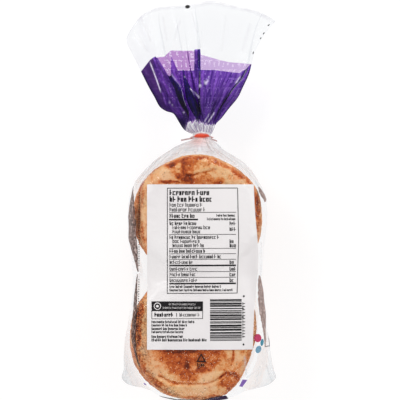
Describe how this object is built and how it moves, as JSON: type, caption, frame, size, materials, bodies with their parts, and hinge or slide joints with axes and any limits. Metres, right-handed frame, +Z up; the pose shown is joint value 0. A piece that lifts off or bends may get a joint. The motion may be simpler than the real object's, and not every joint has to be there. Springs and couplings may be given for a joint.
{
  "type": "clear bag of english muffins",
  "caption": "Clear film bag of round griddled muffins in two stacks, lying flat, with corner ears, a tied neck and a pleated fan of loose film above the tie.",
  "frame": {"origin": "on the floor, below the middle of the whole pack as it lies", "axes": "+Y along the bag from its closed end to the mouth of the fan, +X to the right for someone looking down on the labelled side, +Z up, out of the labelled side"},
  "size_m": [0.1174, 0.3054, 0.0804],
  "materials": {
    "bag": "satin",
    "tie": "satin",
    "film": "gloss",
    "print": "satin",
    "crust": "matte"
  },
  "bodies": {
    "root": {"bag": "bag", "twist_tie": "tie"}
  },
  "joints": []
}
